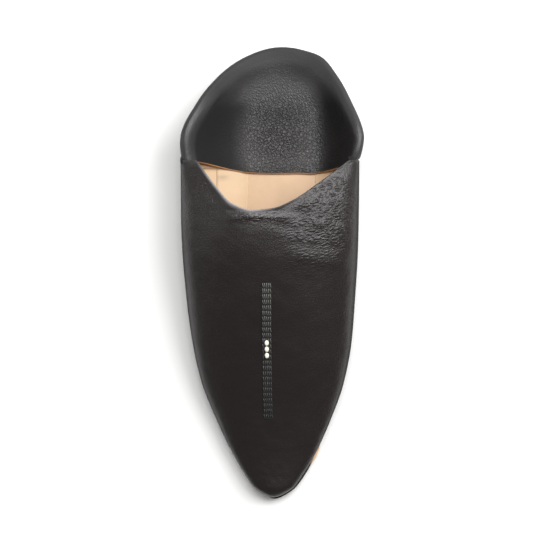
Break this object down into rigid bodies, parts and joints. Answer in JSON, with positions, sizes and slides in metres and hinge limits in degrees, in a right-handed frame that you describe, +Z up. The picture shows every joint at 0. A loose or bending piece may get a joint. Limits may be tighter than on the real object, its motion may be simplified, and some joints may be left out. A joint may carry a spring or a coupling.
{
  "type": "babouche slipper",
  "caption": "Pointed backless leather slipper with its back folded down inside, a stitched band and small beads on the vamp.",
  "frame": {"origin": "on the floor under the middle of the shoe's box", "axes": "+X towards the toe, +Y towards the inner (medial) side of the right foot, +Z up"},
  "size_m": [0.3, 0.1198, 0.0545],
  "materials": {
    "sole_leather": "matte, black edge",
    "natural_leather": "smooth natural, satin",
    "black_leather": "pebbled, satin",
    "black_thread": "waxed thread",
    "bead_glaze": "glossy cream"
  },
  "bodies": {
    "root": {"outsole": "sole_leather", "insole": "natural_leather", "upper": "black_leather", "stitch_band": "black_thread", "bead_1": "bead_glaze", "bead_2": "bead_glaze", "bead_3": "bead_glaze"}
  },
  "joints": []
}
